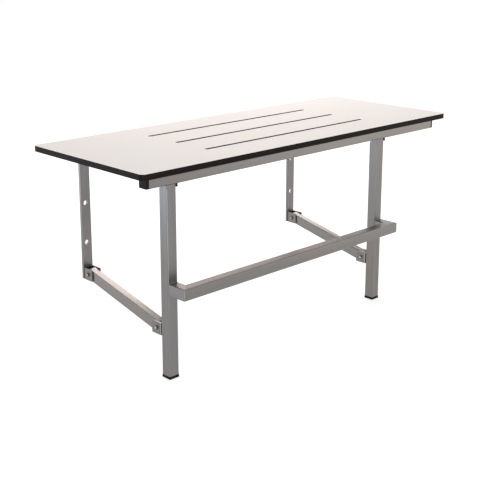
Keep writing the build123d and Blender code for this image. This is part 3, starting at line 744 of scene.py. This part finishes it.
class BENCH_OT_tubes(bpy.types.Operator):
    """Finishes the tubes and bars with a satin grain along each one's length"""

    bl_idname = "bench.tubes"
    bl_label = "Finish the tubes and bars"

    def execute(self, context):
        dress(satin_steel("satin steel along the bench", GRAIN_TURN["X"], "X"),
              "front_rail", "rear_cross_tube", "footrest_bar")
        dress(satin_steel("satin steel from front to back", GRAIN_TURN["Y"], "Y"),
              *both("bearer"), *both("footrest_arm"))
        dress(satin_steel("satin steel upright", GRAIN_TURN["Z"], "Z"),
              *both("leg"), *both("upright"))
        low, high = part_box("strut_left")
        slope = math.atan2(high.z - low.z - STRUT_DEPTH, high.y - low.y)
        sloped = (-slope, 0.0, math.radians(90))
        dress(satin_steel("satin steel along the struts", sloped, "Y", polish=0.05), *both("strut"))
        return {"FINISHED"}


class BENCH_OT_sheet(bpy.types.Operator):
    """Finishes the folded brackets, saddles, ears and turned barrels"""

    bl_idname = "bench.sheet"
    bl_label = "Finish the sheet parts"

    def execute(self, context):
        dress(satin_steel("satin steel sheet", GRAIN_TURN["Z"], "Z", 0.97, 1.3),
              *both("wall_bracket"), *both("leg_ears"), *both("rear_saddle"))
        dress(satin_steel("satin steel folded sheet", GRAIN_TURN["Z"], "Z", 0.97, 1.3, folded=True),
              *both("leg_bracket"))
        dress(satin_steel("turned steel", GRAIN_TURN["Z"], "X", 1.05, 1.6), *both("hinge_barrel"))
        return {"FINISHED"}


class BENCH_OT_fasteners(bpy.types.Operator):
    """Finishes the bolts, nuts, pins and bushes and cuts threads on the bolts' tails"""

    bl_idname = "bench.fasteners"
    bl_label = "Finish the fasteners"

    def execute(self, context):
        dress(bright_fastener("bright fastener steel"), "worktop_bolts", "top_hinge_pins",
              "top_hinge_clips", "leg_hinge_pins", "leg_bushes", *both("strut_bush"))
        crest = fabrication().thread_crest
        for kind, body in (("wall", "wall_frame"), ("leg", "leg_frame")):
            bolt_low, bolt_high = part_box(f"{kind}_pivot_bolts")
            centre = (bolt_low + bolt_high) / 2
            bright = bright_fastener(f"bright {kind} bolt steel", centre)
            dress(bright, f"{kind}_pivot_bolts", f"{kind}_pivot_nuts")
            outer_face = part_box(f"{kind}_bracket_right")[1].x
            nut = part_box(f"{kind}_pivot_nuts")[1].x - outer_face
            tail = bolt_high.x - outer_face
            vertices, faces = [], []
            for side in SIDES:
                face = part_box(f"{kind}_bracket_{side}")[1].x
                spiral = thread_spiral(face + nut, face + tail - THREAD_END, centre)
                rope_of_rings(spiral, [crest] * len(spiral), THREAD_SIDES, vertices, faces)
            piece(f"{kind}_pivot_threads", vertices, faces, bright, body)
        return {"FINISHED"}


class BENCH_OT_plastics(bpy.types.Operator):
    """Finishes the moulded rail caps, foot caps and hinge spacers"""

    bl_idname = "bench.plastics"
    bl_label = "Finish the moulded parts"

    def execute(self, context):
        dress(moulded_plastic(), *both("rail_cap"), *both("foot_cap"), "leg_spacers")
        return {"FINISHED"}


class BENCH_OT_welds(bpy.types.Operator):
    """Lays the weld beads of the leg frame, the top frame and the wall frame"""

    bl_idname = "bench.welds"
    bl_label = "Lay the welds"

    def execute(self, context):
        bend = fabrication().bend_inset
        leg_runs, top_runs, wall_runs = [], [], []
        for side in SIDES:
            low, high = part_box(f"footrest_arm_{side}")
            leg_runs += tube_runs(low, high, high.y, CORNER_INSET, 1.0)
            low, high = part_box(f"leg_bracket_{side}")
            leg_runs += tube_runs(low, high, low.y + BRACKET_SEAT, bend, 0.8, "top bottom")
            low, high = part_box(f"wall_bracket_{side}")
            wall_runs += tube_runs(low, high, high.y - BRACKET_SEAT, bend, 0.8, "top")
            wall_runs += barrel_runs(side)
            low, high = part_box(f"bearer_{side}")
            for y in (low.y, high.y):
                top_runs += tube_runs(low, high, y, CORNER_INSET, 1.0, "bottom left right")
            top_runs += ear_runs(side)
        top_runs += cross_tube_runs()
        bead = weld_metal()
        weld_beads("leg_frame_welds", leg_runs, bead, "leg_frame")
        weld_beads("top_frame_welds", top_runs, bead, "top_frame")
        weld_beads("wall_frame_welds", wall_runs, bead, "wall_frame")
        return {"FINISHED"}


# ------------------------------------------------------------------ studio
def softbox(name, place, target, size, power, colour):
    """A rectangular lamp that faces a target"""
    data = bpy.data.lights.new(name, "AREA")
    data.shape = "RECTANGLE"
    data.size, data.size_y = size
    data.energy = power
    data.color = colour
    lamp = bpy.data.objects.new(name, data)
    lamp.location = place
    lamp.rotation_euler = (Vector(target) - Vector(place)).to_track_quat("-Z", "Y").to_euler()
    lamp.visible_camera = False
    bpy.context.scene.collection.objects.link(lamp)


def seen_directly(tree):
    """1 for camera, glossy and transmission rays, which meet the white background as it is"""
    path = tree.nodes.new("ShaderNodeLightPath")
    seen = path.outputs["Is Camera Ray"]
    for ray in ("Is Glossy Ray", "Is Transmission Ray"):
        either = tree.nodes.new("ShaderNodeMath")
        either.operation = "MAXIMUM"
        tree.links.new(seen, either.inputs[0])
        tree.links.new(path.outputs[ray], either.inputs[1])
        seen = either.outputs["Value"]
    return seen


def floor_paint():
    """White floor that keeps the bench's shadow and glows only for rays that see it directly"""
    paint = bpy.data.materials.new("white studio floor")
    paint.use_nodes = True
    tree = paint.node_tree
    tree.nodes.clear()
    matt = tree.nodes.new("ShaderNodeBsdfDiffuse")
    matt.inputs["Color"].default_value = (FLOOR_GREY, FLOOR_GREY, FLOOR_GREY, 1.0)
    glow = tree.nodes.new("ShaderNodeEmission")
    glow.inputs["Color"].default_value = (1.0, 1.0, 1.0, 1.0)
    share = tree.nodes.new("ShaderNodeMath")
    share.operation = "MULTIPLY"
    share.inputs[1].default_value = FLOOR_GLOW
    together = tree.nodes.new("ShaderNodeAddShader")
    output = tree.nodes.new("ShaderNodeOutputMaterial")
    tree.links.new(seen_directly(tree), share.inputs[0])
    tree.links.new(share.outputs["Value"], glow.inputs["Strength"])
    tree.links.new(matt.outputs["BSDF"], together.inputs[0])
    tree.links.new(glow.outputs["Emission"], together.inputs[1])
    tree.links.new(together.outputs["Shader"], output.inputs["Surface"])
    return paint


def studio_floor(height, size):
    """A square floor under the bench"""
    half = size / 2
    corners = [(-half, -half, 0), (half, -half, 0), (half, half, 0), (-half, half, 0)]
    mesh = bpy.data.meshes.new("studio_floor")
    mesh.from_pydata(corners, [], [(0, 1, 2, 3)])
    mesh.materials.append(floor_paint())
    floor = bpy.data.objects.new("studio_floor", mesh)
    floor.location.z = height
    bpy.context.scene.collection.objects.link(floor)
    return floor


def white_surround(ambient):
    """A world that looks white and lights the bench evenly, by less"""
    world = bpy.data.worlds.new("white studio")
    world.use_nodes = True
    tree = world.node_tree
    background = tree.nodes["Background"]
    background.inputs["Color"].default_value = (1.0, 1.0, 1.0, 1.0)
    level = tree.nodes.new("ShaderNodeMapRange")
    level.inputs["To Min"].default_value = ambient
    level.inputs["To Max"].default_value = 1.0
    tree.links.new(seen_directly(tree), level.inputs["Value"])
    tree.links.new(level.outputs["Result"], background.inputs["Strength"])
    bpy.context.scene.world = world


def hang_lamps(low, high, settings):
    """Softboxes round the bench, placed from the corners of its box"""
    middle = (low + high) / 2
    legs = low.y + 80 * MM
    softbox("overhead_softbox", (middle.x + 1.8, middle.y + 2.16, high.z + 1.65),
            (middle.x, middle.y, 0.6), (2.4, 1.4), settings.overhead, (1.0, 0.925, 0.86))
    softbox("back_softbox", (high.x + 0.6, high.y + 1.57, high.z + 0.30),
            (middle.x - 0.4, low.y, 0.34), (1.6, 0.5), settings.back, (1.0, 0.79, 0.68))
    softbox("left_softbox", (low.x - 1.3, high.y + 1.17, 0.2),
            (low.x + 0.2, legs, 0.3), (1.2, 0.4), settings.left_fill, (0.64, 0.80, 1.0))
    softbox("left_back_softbox", (low.x - 0.7, high.y + 2.27, 0.5),
            (middle.x + 0.2, legs, 0.4), (1.8, 0.9), settings.left_back, (1.0, 0.88, 0.55))
    softbox("front_softbox", (high.x + 1.1, low.y - 1.97, 0.7),
            (middle.x + 0.3, legs, 0.5), (1.0, 0.8), settings.front_fill, (1.0, 0.98, 0.90))
    softbox("right_softbox", (high.x + 2.1, low.y - 1.27, 0.8),
            (middle.x + 0.3, legs, 0.5), (1.0, 0.8), settings.right_fill, (1.0, 0.78, 0.42))
    softbox("edge_strip", (low.x - 0.8, low.y - 1.4, 0.45),
            (low.x + 0.2, low.y, 0.4), (0.5, 0.9), settings.edge_light, (0.93, 0.98, 1.0))


def aim_camera(settings):
    """A camera that looks down on the bench from the front left"""
    data = bpy.data.cameras.new("bench_camera")
    data.lens = settings.lens
    data.sensor_width = CAMERA_SENSOR
    data.shift_y = settings.rise
    data.clip_end = CAMERA_REACH
    camera = bpy.data.objects.new("bench_camera", data)
    camera.location = settings.place
    camera.rotation_euler = (math.radians(90) - settings.dip, 0.0, -settings.heading)
    bpy.context.scene.collection.objects.link(camera)
    bpy.context.scene.camera = camera


class BENCH_OT_stage(bpy.types.Operator):
    """Sets up the white floor, the even surround, the softboxes and the camera"""

    bl_idname = "bench.stage"
    bl_label = "Set up the studio"

    def execute(self, context):
        settings = stage_settings()
        context.scene.view_settings.view_transform = "Standard"
        low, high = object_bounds()
        floor = studio_floor(low.z - FLOOR_GAP, settings.floor_size)
        floor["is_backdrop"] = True
        white_surround(settings.ambient)
        hang_lamps(low, high, settings)
        aim_camera(settings)
        return {"FINISHED"}


# ------------------------------------------------------------------ sidebar
class BENCH_PT_sidebar(bpy.types.Panel):
    """Lists the bench's finishing steps"""

    bl_idname = "BENCH_PT_sidebar"
    bl_label = "Work bench"
    bl_space_type = "VIEW_3D"
    bl_region_type = "UI"
    bl_category = "Bench"

    def draw(self, context):
        column = self.layout.column()
        for step in STEPS:
            column.operator(step.bl_idname)
        for group in (finishes(), fabrication(), stage_settings()):
            for key in group.__annotations__:
                column.prop(group, key)


GROUPS = (BENCH_PG_finishes, BENCH_PG_fabrication, BENCH_PG_stage)
STEPS = (BENCH_OT_worktop, BENCH_OT_tubes, BENCH_OT_sheet, BENCH_OT_fasteners,
         BENCH_OT_plastics, BENCH_OT_welds, BENCH_OT_stage)


def register():
    for item in (*GROUPS, *STEPS, BENCH_PT_sidebar):
        bpy.utils.register_class(item)
    bpy.types.Scene.bench_finishes = bpy.props.PointerProperty(type=BENCH_PG_finishes)
    bpy.types.Scene.bench_fabrication = bpy.props.PointerProperty(type=BENCH_PG_fabrication)
    bpy.types.Scene.bench_stage = bpy.props.PointerProperty(type=BENCH_PG_stage)


def unregister():
    del bpy.types.Scene.bench_stage
    del bpy.types.Scene.bench_fabrication
    del bpy.types.Scene.bench_finishes
    for item in reversed((*GROUPS, *STEPS, BENCH_PT_sidebar)):
        bpy.utils.unregister_class(item)


def main():
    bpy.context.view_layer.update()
    register()
    bpy.ops.bench.worktop()
    bpy.ops.bench.tubes()
    bpy.ops.bench.sheet()
    bpy.ops.bench.fasteners()
    bpy.ops.bench.plastics()
    bpy.ops.bench.welds()
    bpy.ops.bench.stage()


if __name__ == "__main__":
    main()
